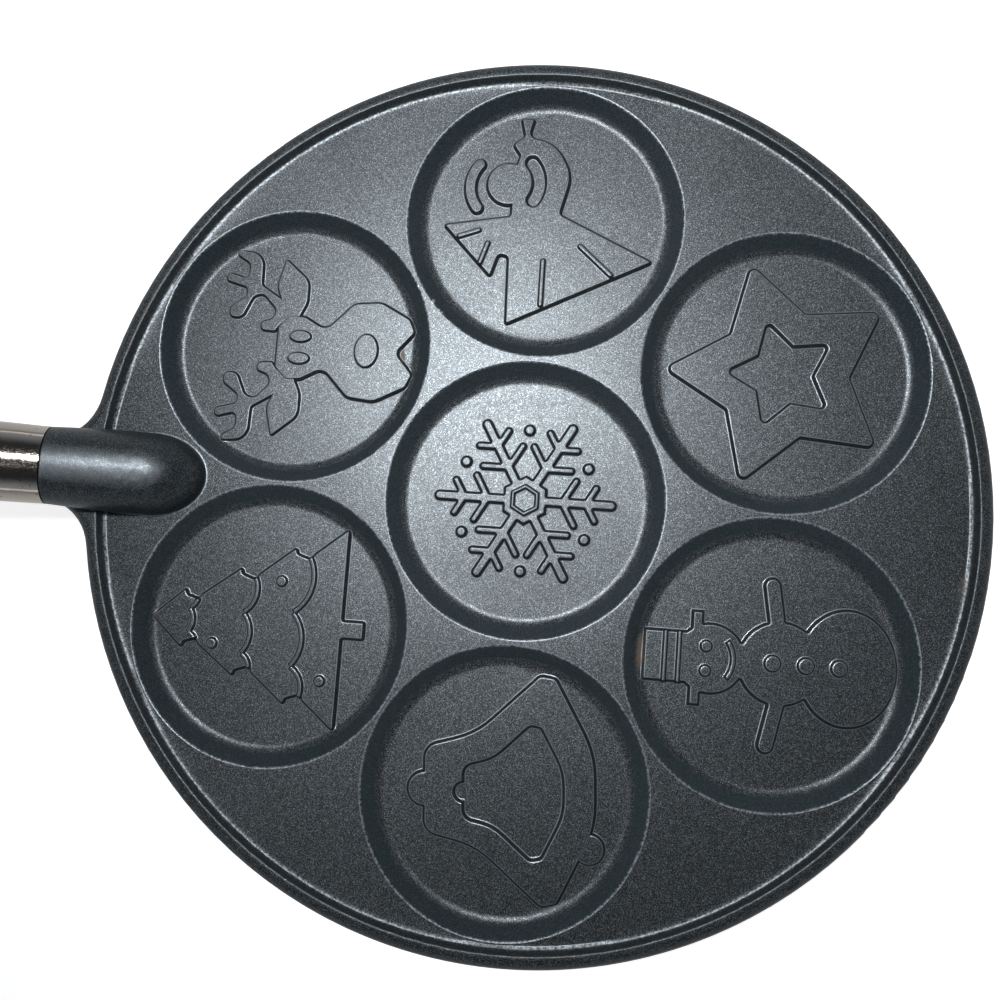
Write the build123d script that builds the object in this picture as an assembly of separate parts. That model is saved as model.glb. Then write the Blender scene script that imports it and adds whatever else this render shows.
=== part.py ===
from build123d import *
from math import atan2, cos, degrees, pi, radians, sin, tan
import os

os.makedirs("parts", exist_ok=True)

# A cast aluminium pancake pan: seven round wells, each with a relief figure, and a screwed-on grip.
# Millimetres and degrees. +Z is up, and z = 0 is the plane that the seven well bottoms stand on.
# The pan's axis is Z, and the handle points along -X and rises away from the pan.

# Wells
WELL_RADIUS = 41.5
WELL_DEPTH = 4.5
WELL_WALL_LEAN = 45.0
WELL_FOOT_ROUND = 4.5
WELL_LIP_ROUND = 0.5
WELL_LAND = 1.12
CENTRE_LAND = 1.6
RIM_LAND = 1.3

# Metal of the casting
FLOOR_WALL = 3.5
PLATE_WALL = 3.5
CUP_EDGE_ROUND = 1.0
RIM_WALL_WIDTH = 1.5
RIM_RISE = 2.3
RIM_WIDTH = 4.6
RIM_ROUND = 3.8
RIM_CREST_ROUND = 0.4
RIM_FOOT_BEVEL_IN = 0.6
RIM_FOOT_BEVEL_OUT = 0.25
SKIRT_DROP = 4.5
SKIRT_WALL = 4.0

# Boss that carries the handle
HANDLE_RISE = 13.0
BOSS_OVERHANG = 8.0
BOSS_END_LIFT = 7.5
BOSS_LENGTH = 29.2
BOSS_END_RADIUS = 11.5
BOSS_ROOT_RADIUS = 12.4
BOSS_NOSE = 17.0
BOSS_END_ROUND = 0.5
BOSS_SPIGOT = 8.0
WEB_HALF_WIDTH = 9.5
WEB_ROUND = 16.0
WEB_SETBACK = 1.5

# Flame guard, a polished steel tube
GUARD_LENGTH = 38.0
GUARD_END_RADIUS = 12.1
GUARD_WALL = 0.8
GUARD_CLEARANCE = 0.15

# Moulded grip
GRIP_LENGTH = 140.0
GRIP_COLLAR_STEP = 0.5
GRIP_SPIGOT = 10.0
GRIP_WAIST_AT = 12.0
GRIP_WAIST_WIDTH = 24.2
GRIP_WAIST_HEIGHT = 23.6
GRIP_BELLY_AT = 74.0
GRIP_BELLY_WIDTH = 31.0
GRIP_BELLY_HEIGHT = 22.6
GRIP_TAIL_WIDTH = 26.0
GRIP_TAIL_HEIGHT = 17.6
SLOT_LENGTH = 24.0
SLOT_WIDTH = 13.0
SLOT_END_WALL = 8.0
DRIVER_HOLE_RADIUS = 3.6

# Long screw that clamps the grip and the guard to the boss
THREAD_RADIUS = 3.0
THREAD_LENGTH = 22.0
THREAD_CLEARANCE = 0.03
HOLE_RUN_OUT = 4.0
SHANK_RADIUS = 2.65
SCREW_HOLE_CLEARANCE = 0.35
HEAD_RADIUS = 5.2
HEAD_HEIGHT = 3.8
HEAD_ROUND = 1.4
DRIVE_WIDTH = 1.1
DRIVE_SPAN = 5.4
DRIVE_DEPTH = 2.2
FLAT_WASHER_RADIUS = 6.0
FLAT_WASHER_THICKNESS = 1.2
LOCK_WASHER_RADIUS = 5.4
LOCK_WASHER_THICKNESS = 1.6
LOCK_WASHER_SPLIT = 1.2
WASHER_BORE_CLEARANCE = 0.2
HEAD_POCKET_CLEARANCE = 0.3

# Relief figures
FIGURE_RISE = 1.3
LOW_RISE = 1.0
DETAIL_RISE = 0.9
RELIEF_LEAN = 33.0
TIP_CREST_ROUND = 0.2
RIB_WIDTH = 1.9
DRAWN_FLOOR_RADIUS = 37.0


def outline(*corners):
    """A flat face with straight edges between corners (x, y) or (x, y, corner radius)."""
    places = [Vector(corner[0], corner[1]) for corner in corners]
    bends = []
    for i, here in enumerate(places):
        radius = corners[i][2] if len(corners[i]) > 2 else 0
        back = (places[i - 1] - here).normalized()
        ahead = (places[(i + 1) % len(places)] - here).normalized()
        half_angle = radians(back.get_angle(ahead) / 2)
        reach = radius / tan(half_angle)
        middle = here + (back + ahead).normalized() * (radius / sin(half_angle) - radius)
        bends.append((here + back * reach, middle, here + ahead * reach, radius))
    edges = []
    for i, (start, middle, end, radius) in enumerate(bends):
        edges.append(Line(bends[i - 1][2], start))
        if radius:
            edges.append(ThreePointArc(start, middle, end))
    return make_face(edges)


def turned(*corners):
    """A solid turned round Z from an outline of (radius, z) corners, or (radius, z, corner radius)."""
    return revolve(Plane.XZ * outline(*corners), Axis.Z)


def tube(outer_radius, inner_radius, bottom, top):
    """A straight ring round Z."""
    ring = Circle(outer_radius) - Circle(inner_radius)
    return Pos(0, 0, bottom) * extrude(ring, top - bottom)


def rod(radius, bottom, top):
    """A straight cylinder round Z."""
    return Pos(0, 0, bottom) * extrude(Circle(radius), top - bottom)


def mirrored(right_half):
    """Corners down the right side of a shape, followed by the same corners up its left side."""
    left_half = [(-corner[0], *corner[1:]) for corner in reversed(right_half) if corner[0] > 0]
    return right_half + left_half


def capsule(start, end, radius):
    """A flat bar with round ends between two points."""
    run = Vector(*end) - Vector(*start)
    middle = (Vector(*start) + Vector(*end)) * 0.5
    bar = SlotCenterToCenter(run.length, 2 * radius, rotation=degrees(atan2(run.Y, run.X)))
    return Pos(middle.X, middle.Y) * bar


def crescent(middle, radius, width, start, sweep):
    """A curved bar with round ends, bent round a point."""
    arc = CenterArc((0, 0), radius, start, sweep)
    ends = [Pos(arc @ place) * Circle(width / 2) for place in (0, 1)]
    return Pos(*middle) * (trace(arc, width) + ends)


def star_face(tip_radius, notch_radius, tip_bend, notch_bend):
    """A five-pointed star with its first point up."""
    corners = []
    for i in range(10):
        radius, bend = (tip_radius, tip_bend) if i % 2 == 0 else (notch_radius, notch_bend)
        turn = radians(90 + 36 * i)
        corners.append((radius * cos(turn), radius * sin(turn), bend))
    return outline(*corners)


# Each figure below is drawn upright, for a well floor of DRAWN_FLOOR_RADIUS, with its middle at (0, 0).
# It gives the faces that stand FIGURE_RISE high, those that stand LOW_RISE high and the details on top.


def star_figure():
    """A star with a smaller star sunk in its middle."""
    star = star_face(tip_radius=35.3, notch_radius=19.8, tip_bend=2.2, notch_bend=0.8)
    sunk = star_face(tip_radius=15.6, notch_radius=8.4, tip_bend=0.8, notch_bend=tip_round)
    return [star - sunk], [], []


def bell_face(knob_radius):
    """A flared bell with a round knob on top."""
    body = outline(*mirrored([
        (12.6, 23.8, 5.0), (16.4, 8.4, 24.0), (33.2, -10.4, 3.0), (32.2, -15.4, 2.4), (10.5, -26.7, 28.0),
    ]))
    return body + Pos(0, 28.6 - knob_radius) * Circle(knob_radius)


def bell_figure():
    """A bell with a smaller bell sunk in it, and its clapper showing below the mouth."""
    sunk = Pos(-0.8, -1.8) * scale(bell_face(knob_radius=4.2), by=0.56)
    clapper = Pos(-16.4, -24.4) * Circle(4.7)
    return [bell_face(knob_radius=5.4) - sunk], [clapper], []


def tree_figure():
    """A fir tree of four tiers, with a garland along three of them and three balls."""
    tree = outline(*mirrored([
        (0, 37.4, tip_round),
        (9.8, 26.6, tip_round), (7.4, 26.1, 0.7), (6.4, 23.0, 0.8), (7.7, 22.3, tip_round),
        (16.9, 10.2, tip_round), (14.7, 9.7, 0.9), (13.4, 6.0, 1.0), (15.0, 5.2, tip_round),
        (24.1, -5.9, tip_round), (21.8, -6.4, 0.9), (20.5, -10.2, 1.0), (22.0, -11.0, tip_round),
        (31.0, -21.8, tip_round), (3.0, -21.8, 0.3), (3.0, -28.4, tip_round),
    ]))
    garlands = [
        garland([(6.2, 22.8), (3.2, 25.2), (-4.2, 25.2), (-6.2, 22.8)]),
        garland([(13.6, 5.8), (2.9, 8.6), (-9.2, 8.4), (-13.6, 5.8)]),
        garland([(20.8, -10.2), (4.0, -6.4), (-11.9, -6.8), (-20.8, -10.2)]),
    ]
    balls = [Pos(*place) * Circle(1.85) for place in ((13.0, -2.2), (-6.9, 17.4), (-15.5, -16.1))]
    return [tree], [], [bow for bows in garlands for bow in bows] + balls


def garland(ends):
    """Ribs that sag between points hung across the figure."""
    bows = []
    for start, end in zip(ends, ends[1:]):
        span = Vector(*end) - Vector(*start)
        low = (Vector(*start) + Vector(*end)) * 0.5 - Vector(0, span.length * 0.2)
        bows.append(trace(ThreePointArc(start, low, end), RIB_WIDTH))
    return bows


def snowman_figure():
    """A snowman with a banded top hat, two arms, two eyes, a smile and three buttons."""
    shapes = [
        Pos(0, 28.0) * Rectangle(15.3, 15.6),
        Pos(0, 20.4) * Rectangle(27.6, 3.8),
        Pos(0, 16.4) * Circle(10.4),
        Pos(0, -3.4) * Circle(12.3),
        Pos(0, -22.2) * Ellipse(17.0, 14.3),
        capsule((9.0, -2.6), (22.0, -0.4), 2.7),
        capsule((-9.0, -3.4), (-23.2, -0.4), 2.7),
    ]
    body = shapes[0] + shapes[1:]
    bands = [Pos(0, height) * Rectangle(15.3, 1.7) for height in (29.4, 25.4)]
    eyes = [Pos(side * 3.5, 17.7) * Circle(1.9) for side in (1, -1)]
    smile = trace(ThreePointArc((5.5, 11.8), (0, 9.9), (-5.5, 11.8)), RIB_WIDTH)
    buttons = [Pos(0, height) * Circle(2.6) for height in (-1.2, -10.6, -19.9)]
    return [body], [], bands + eyes + [smile] + buttons


def angel_figure():
    """An angel in a gown, with one wing, a halo round its head and a short horn."""
    body = outline(
        (33.6, 10.0, tip_round), (27.6, 8.4, 0.8), (24.8, 12.0, 1.6), (21.2, 9.4, 0.8), (18.6, 10.2),
        (6.4, 11.0), (2.6, 11.0, 0.5), (-1.0, 31.8, tip_round), (-17.9, 15.2, tip_round), (-10.4, 13.0, 0.9),
        (-10.9, 10.9, 0.8), (-32.2, 10.2, tip_round), (-10.2, -34.2, 1.0), (3.6, -4.9, 0.8),
        (16.0, -7.9, 11.0), (26.2, -1.8, 11.0), (27.6, 6.0, 1.5), (33.3, 4.6, tip_round),
    )
    head = Pos(12.2, 11.8) * Circle(7.1)
    front_halo = crescent((11.2, 12.9), radius=10.6, width=4.4, start=50, sweep=80)
    back_halo = crescent((12.6, 12.2), radius=9.7, width=3.2, start=-122, sweep=74)
    folds = [
        capsule(start, end, RIB_WIDTH / 2)
        for start, end in (
            ((-6.6, -11.2), (-15.0, -20.8)), ((-11.6, -0.3), (-25.0, -0.4)),
            ((-5.0, 25.6), (-2.9, 19.8)), ((-6.8, 16.8), (-12.8, 18.7)),
        )
    ]
    return [body + head - back_halo, front_halo], [], folds


def reindeer_figure():
    """A reindeer's head from the front, with ears and antlers a little lower than the head."""
    head = outline(*mirrored([
        (6.6, 6.9, 2.2), (10.6, 3.0, 2.2), (10.2, -2.0, 3.0), (6.6, -8.4, 3.0), (15.0, -16.4, 4.0),
        (15.9, -25.0, 6.0), (10.9, -34.6, 3.0), (6.4, -36.7, 2.2), (0, -31.2, 1.6),
    ]))
    ear = outline(
        (8.8, 0.0), (14.0, -2.4, 6.0), (21.2, -2.4, 5.0), (28.3, 6.0, 0.9), (19.0, 8.4, 6.0), (8.8, 4.4),
    )
    antler = outline(
        (9.2, 1.8), (14.8, 5.2, 4.0), (19.2, 12.3, 1.2), (29.4, 12.6, 5.0), (30.2, 21.8, 1.3),
        (27.8, 21.4, 1.2), (25.4, 17.4, 2.0), (21.3, 17.5, 1.0), (23.2, 24.2, 1.6), (19.6, 24.4, 1.6),
        (17.8, 17.8, 0.8), (15.6, 17.5, 1.6), (12.1, 22.4, 2.0), (8.2, 22.6, 2.0), (8.1, 17.8, 3.0),
        (14.9, 14.8, 2.2), (15.9, 12.2, 1.8), (11.4, 7.9, 1.6), (9.0, 8.8, 1.6), (7.8, 12.4, 1.6),
        (4.6, 12.2, 1.7), (4.3, 7.2, 1.5), (6.8, 5.5), (7.4, 2.0),
    )
    low = [ear, antler, mirror(ear, Plane.YZ), mirror(antler, Plane.YZ)]
    eyes = [Pos(side * 3.4, -1.0) * Ellipse(2.1, 3.6) for side in (1, -1)]
    nose = Pos(0, -21.6) * Ellipse(5.4, 3.9)
    return [head], low, eyes + [nose]


def snowflake_figure():
    """A six-armed snowflake with two pairs of twigs on each arm and a bead between the arms."""
    arm = capsule((0, 0), (0, 25.5), 1.7)
    for start, reach in ((11.0, 7.6), (18.0, 5.6)):
        for side in (1, -1):
            arm += capsule((0, start), (side * reach * sin(pi / 3), start + reach / 2), 1.3)
    flake = RegularPolygon(7.6, 6)
    for i in range(6):
        flake += Rot(0, 0, 60 * i) * arm
    beads = [Rot(0, 0, 30 + 60 * i) * Pos(0, 21.0) * Circle(1.9) for i in range(6)]
    ring = outline(*[(5.0 * cos(i * pi / 3), 5.0 * sin(i * pi / 3)) for i in range(6)])
    core = outline(*[(3.2 * cos(i * pi / 3), 3.2 * sin(i * pi / 3)) for i in range(6)])
    return [flake] + beads, [], [ring - core]


# Sizes worked out from the ones at the top
ring_figures = [tree_figure, bell_figure, snowman_figure, star_figure, angel_figure, reindeer_figure]
ring_tilts = [0.0, 4.0, 0.0, 0.0, 0.0, 0.0]
well_pitch = 360 / len(ring_figures)
ring_radius = (2 * WELL_RADIUS + WELL_LAND) / (2 * sin(radians(well_pitch / 2)))
centre_well_radius = ring_radius - WELL_RADIUS - CENTRE_LAND
rim_foot_radius = ring_radius + WELL_RADIUS + RIM_LAND
rim_crest_radius = rim_foot_radius + RIM_WALL_WIDTH
rim_radius = rim_crest_radius + RIM_WIDTH
plate_top = FLOOR_WALL + WELL_DEPTH
plate_underside = plate_top - PLATE_WALL
rim_top = plate_top + RIM_RISE
skirt_bottom = plate_top - SKIRT_DROP
wall_run = WELL_DEPTH * tan(radians(WELL_WALL_LEAN))
figure_scale = (WELL_RADIUS - wall_run) / DRAWN_FLOOR_RADIUS
tip_round = (FIGURE_RISE * tan(radians(RELIEF_LEAN)) + TIP_CREST_ROUND) / figure_scale

# The handle's own frame: its origin is the middle of the boss's end, z runs out along the handle and y is up
handle_frame = Plane(
    origin=(-(rim_radius + BOSS_OVERHANG), 0, plate_top + BOSS_END_LIFT),
    x_dir=(0, -1, 0),
    z_dir=(-cos(radians(HANDLE_RISE)), 0, sin(radians(HANDLE_RISE))),
)
guard_lean = (GUARD_END_RADIUS - BOSS_END_RADIUS) / GUARD_LENGTH


def guard_inner_radius(height):
    """The radius inside the flame guard, at a height along the handle."""
    return BOSS_END_RADIUS + guard_lean * height - GUARD_WALL


def well_frames():
    """The frame of each well on its floor, with y towards the handle, with its radius, figure and tilt."""
    frames = []
    for i, figure in enumerate(ring_figures):
        turn = radians(180 + well_pitch * (i + 0.5))
        middle = (ring_radius * cos(turn), ring_radius * sin(turn), FLOOR_WALL)
        frames.append((Plane(origin=middle, x_dir=(0, 1, 0)), WELL_RADIUS, figure, ring_tilts[i]))
    middle_frame = Plane(origin=(0, 0, FLOOR_WALL), x_dir=(0, 1, 0))
    frames.append((middle_frame, centre_well_radius, snowflake_figure, 0.0))
    return frames


def hollow(top_radius):
    """The space inside a well, from its floor up, flared at the lip."""
    lean = tan(radians(WELL_WALL_LEAN))
    flare = top_radius + 2 * WELL_LIP_ROUND
    return turned(
        (0, 0), (top_radius - WELL_DEPTH * lean, 0, WELL_FOOT_ROUND),
        (top_radius, WELL_DEPTH, WELL_LIP_ROUND), (flare, WELL_DEPTH), (flare, WELL_DEPTH + WELL_LIP_ROUND),
        (0, WELL_DEPTH + WELL_LIP_ROUND),
    )


def cup(top_radius):
    """The outside of a well under the plate, a wall's thickness away from the inside."""
    lean = radians(WELL_WALL_LEAN)
    top_outside = top_radius + FLOOR_WALL / cos(lean)
    depth = WELL_DEPTH + FLOOR_WALL
    under_plate = depth - PLATE_WALL / 2
    return turned(
        (0, -FLOOR_WALL),
        (top_outside - depth * tan(lean), -FLOOR_WALL, CUP_EDGE_ROUND),
        (top_outside - (depth - under_plate) * tan(lean), under_plate - FLOOR_WALL),
        (0, under_plate - FLOOR_WALL),
    )


def raise_up(face, height, size):
    """A low prism on a face, with walls that lean inwards as they rise."""
    prism = extrude(scale(face, by=size), height, taper=RELIEF_LEAN)
    return prism if prism.center().Z > 0 else mirror(prism, Plane.XY)


def relief(figure, size):
    """The solids that stand up from a well's floor."""
    high, low, details = figure()
    solids = [raise_up(face, FIGURE_RISE, size) for face in high]
    solids += [raise_up(face, LOW_RISE, size) for face in low]
    solids += [Pos(0, 0, FIGURE_RISE) * raise_up(face, DETAIL_RISE, size) for face in details]
    return solids


def rim_disc():
    """The disc of the pan with a rounded outer edge, and webs that curve out to the boss."""
    web_length = BOSS_OVERHANG + WEB_ROUND
    shank = Rectangle(rim_radius + web_length, 2 * WEB_HALF_WIDTH, align=(Align.MAX, Align.CENTER))
    plan = Circle(rim_radius) + shank
    corners = [v for v in plan.vertices() if -rim_radius < v.X < 0]
    plan = fillet(corners, WEB_ROUND)
    disc = Pos(0, 0, skirt_bottom) * extrude(plan, SKIRT_DROP + RIM_RISE)
    disc = fillet(disc.edges().group_by(Axis.Z)[-1], RIM_ROUND)
    beyond_boss = Pos(0, 0, -WEB_SETBACK) * Box(
        4 * rim_radius, 4 * rim_radius, 4 * rim_radius, align=(Align.CENTER, Align.CENTER, Align.MIN)
    )
    return disc - handle_frame * beyond_boss


def boss():
    """The round bar that carries the handle, with a domed nose, barrelled sides and the guard's spigot."""
    spigot_radius = guard_inner_radius(0) - GUARD_CLEARANCE
    nose = EllipticalCenterArc((0, -BOSS_LENGTH), BOSS_ROOT_RADIUS, BOSS_NOSE, 0, arc_size=-90)
    profile = make_face([
        nose,
        TangentArc((BOSS_ROOT_RADIUS, -BOSS_LENGTH), (BOSS_END_RADIUS, -BOSS_END_ROUND), tangent=(0, 1)),
        Line((BOSS_END_RADIUS, -BOSS_END_ROUND), (BOSS_END_RADIUS - BOSS_END_ROUND, 0)),
        Line((BOSS_END_RADIUS - BOSS_END_ROUND, 0), (0, 0)),
        Line((0, 0), (0, -BOSS_LENGTH - BOSS_NOSE)),
    ])
    bar = revolve(Plane.XZ * profile, Axis.Z) + rod(spigot_radius, -BOSS_NOSE, BOSS_SPIGOT)
    underneath = Pos(0, 0, skirt_bottom) * Box(
        8 * rim_radius, 8 * rim_radius, 8 * rim_radius, align=(Align.CENTER, Align.CENTER, Align.MAX)
    )
    return handle_frame * bar - underneath


def make_pan():
    """The whole casting."""
    bevel_top = plate_top + RIM_FOOT_BEVEL_OUT * RIM_RISE / RIM_WALL_WIDTH
    flare_radius = rim_crest_radius + 1.2 * RIM_CREST_ROUND
    above = rim_top + 1
    recess = turned(
        (0, plate_top), (rim_foot_radius - RIM_FOOT_BEVEL_IN, plate_top),
        (rim_foot_radius + RIM_FOOT_BEVEL_OUT, bevel_top), (rim_crest_radius, rim_top, RIM_CREST_ROUND),
        (flare_radius, rim_top), (flare_radius, above), (0, above),
    )
    pocket = rod(rim_radius - SKIRT_WALL, skirt_bottom - 1, plate_underside)
    casting = rim_disc() - recess - pocket
    wells = well_frames()
    casting += [frame * cup(radius) for frame, radius, figure, tilt in wells]
    casting += boss()
    casting -= [frame * hollow(radius) for frame, radius, figure, tilt in wells]
    raised = []
    for frame, radius, figure, tilt in wells:
        raised += [frame * Rot(0, 0, tilt) * solid for solid in relief(figure, figure_scale)]
    casting += raised
    hole_depth = THREAD_LENGTH + HOLE_RUN_OUT
    return casting - handle_frame * rod(THREAD_RADIUS + THREAD_CLEARANCE, -hole_depth, BOSS_SPIGOT + 1)


def make_flame_guard():
    """A slightly flared steel tube between the boss and the grip."""
    end_inner = guard_inner_radius(GUARD_LENGTH)
    start_inner = guard_inner_radius(0)
    return handle_frame * turned(
        (start_inner, 0), (BOSS_END_RADIUS, 0), (GUARD_END_RADIUS, GUARD_LENGTH), (end_inner, GUARD_LENGTH)
    )


grip_start = GUARD_LENGTH
grip_end = grip_start + GRIP_LENGTH
tail_start = grip_end - GRIP_TAIL_WIDTH / 2
slot_end = grip_end - SLOT_END_WALL
slot_start = slot_end - SLOT_LENGTH
head_pocket_depth = FLAT_WASHER_THICKNESS + LOCK_WASHER_THICKNESS + HEAD_HEIGHT + HEAD_POCKET_CLEARANCE
head_seat = slot_start - head_pocket_depth
screw_hole_radius = THREAD_RADIUS + SCREW_HOLE_CLEARANCE
collar_radius = GUARD_END_RADIUS + GRIP_COLLAR_STEP


def make_grip():
    """The moulded grip: a spigot inside the guard, an oval body and a rounded tail with a hanging slot."""
    sections = [
        (0, 2 * collar_radius, 2 * collar_radius),
        (GRIP_WAIST_AT, GRIP_WAIST_WIDTH, GRIP_WAIST_HEIGHT),
        (GRIP_BELLY_AT, GRIP_BELLY_WIDTH, GRIP_BELLY_HEIGHT),
        (tail_start - grip_start, GRIP_TAIL_WIDTH, GRIP_TAIL_HEIGHT),
    ]
    body = loft([
        Pos(0, 0, grip_start + height) * Ellipse(width / 2, thickness / 2)
        for height, width, thickness in sections
    ])
    tail = scale(Sphere(1), by=(GRIP_TAIL_WIDTH / 2, GRIP_TAIL_HEIGHT / 2, GRIP_TAIL_WIDTH / 2))
    spigot_start = grip_start - GRIP_SPIGOT
    narrow = guard_inner_radius(spigot_start) - GUARD_CLEARANCE
    wide = guard_inner_radius(grip_start) - GUARD_CLEARANCE
    spigot = turned(
        (0, spigot_start), (narrow, spigot_start), (wide, grip_start),
        (wide, grip_start + 1), (0, grip_start + 1),
    )
    grip = body + Pos(0, 0, tail_start) * tail + spigot
    slot_plane = Plane(origin=(0, 0, (slot_start + slot_end) / 2), x_dir=(0, 0, 1), z_dir=(0, 1, 0))
    slot = extrude(slot_plane * SlotOverall(SLOT_LENGTH, SLOT_WIDTH), GRIP_TAIL_HEIGHT, both=True)
    grip -= slot
    grip -= rod(screw_hole_radius, spigot_start - 1, slot_start + SLOT_WIDTH / 2)
    pocket_radius = FLAT_WASHER_RADIUS + HEAD_POCKET_CLEARANCE
    grip -= rod(pocket_radius, head_seat, slot_start + SLOT_WIDTH / 2)
    return handle_frame * (grip - rod(DRIVER_HOLE_RADIUS, slot_end - SLOT_WIDTH / 2, grip_end + 1))


def make_handle_screw():
    """The long cross-head screw: threaded in the boss, with its head in the grip's pocket."""
    head_start = head_seat + FLAT_WASHER_THICKNESS + LOCK_WASHER_THICKNESS
    head_end = head_start + HEAD_HEIGHT
    screw = turned(
        (0, -THREAD_LENGTH), (THREAD_RADIUS, -THREAD_LENGTH), (THREAD_RADIUS, 0), (SHANK_RADIUS, 0),
        (SHANK_RADIUS, head_start), (HEAD_RADIUS, head_start), (HEAD_RADIUS, head_end, HEAD_ROUND),
        (0, head_end),
    )
    for turn in (0, 90):
        blade = Box(DRIVE_SPAN, DRIVE_WIDTH, DRIVE_DEPTH, align=(Align.CENTER, Align.CENTER, Align.MAX))
        screw -= Pos(0, 0, head_end) * Rot(0, 0, turn) * blade
    return handle_frame * screw


def make_flat_washer():
    """The plain washer on the pocket's floor."""
    bore = SHANK_RADIUS + WASHER_BORE_CLEARANCE
    return handle_frame * tube(FLAT_WASHER_RADIUS, bore, head_seat, head_seat + FLAT_WASHER_THICKNESS)


def make_lock_washer():
    """The split spring washer, drawn flat under the screw's head."""
    start = head_seat + FLAT_WASHER_THICKNESS
    bore = SHANK_RADIUS + WASHER_BORE_CLEARANCE
    ring = tube(LOCK_WASHER_RADIUS, bore, start, start + LOCK_WASHER_THICKNESS)
    split = Pos(LOCK_WASHER_RADIUS, 0, start) * Box(
        2 * LOCK_WASHER_RADIUS, LOCK_WASHER_SPLIT, 2 * LOCK_WASHER_THICKNESS,
    )
    return handle_frame * (ring - split)


nodes = {
    "pan": make_pan,
    "flame_guard": make_flame_guard,
    "grip": make_grip,
    "handle_screw": make_handle_screw,
    "flat_washer": make_flat_washer,
    "lock_washer": make_lock_washer,
}
for name, make in nodes.items():
    export_step(make(), f"parts/{name}.step")
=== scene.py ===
"""Dresses the pancake pan: its coated casting, steel flame guard, moulded grip and the grip's fixings."""

import logging
import math
from dataclasses import dataclass, field
from enum import Enum

import bmesh
import bpy
from mathutils import Euler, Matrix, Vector


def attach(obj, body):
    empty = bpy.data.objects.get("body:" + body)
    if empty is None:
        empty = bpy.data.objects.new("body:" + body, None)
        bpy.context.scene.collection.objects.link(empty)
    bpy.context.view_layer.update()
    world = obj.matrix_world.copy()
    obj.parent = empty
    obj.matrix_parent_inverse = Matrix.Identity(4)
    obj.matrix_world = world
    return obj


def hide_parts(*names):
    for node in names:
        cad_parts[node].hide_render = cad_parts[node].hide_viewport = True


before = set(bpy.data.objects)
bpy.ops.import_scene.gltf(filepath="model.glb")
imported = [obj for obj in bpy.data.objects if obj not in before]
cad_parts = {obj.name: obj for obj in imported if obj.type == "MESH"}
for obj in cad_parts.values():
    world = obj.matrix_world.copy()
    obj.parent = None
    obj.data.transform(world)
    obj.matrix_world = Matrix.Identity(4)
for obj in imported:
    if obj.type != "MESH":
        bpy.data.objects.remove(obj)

LOG = logging.getLogger("pancake_pan")
MM = 0.001
BODY = "root"
ORIGIN = (0.0, 0.0, 0.0)

Node = bpy.types.Node
Socket = bpy.types.NodeSocket
Outputs = bpy.types.bpy_prop_collection
Colour = tuple[float, float, float]
Place = tuple[float, float, float]
Span = tuple[float, float]
Feed = Socket | float | tuple[float, ...]


class SocketKind(Enum):
    """What a node group's socket carries."""

    NUMBER = "NodeSocketFloat"
    VECTOR = "NodeSocketVector"


class Ray(Enum):
    """A kind of ray that the floor and the backdrop show themselves to."""

    CAMERA = "Is Camera Ray"
    GLOSSY = "Is Glossy Ray"
    TRANSMISSION = "Is Transmission Ray"



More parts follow.
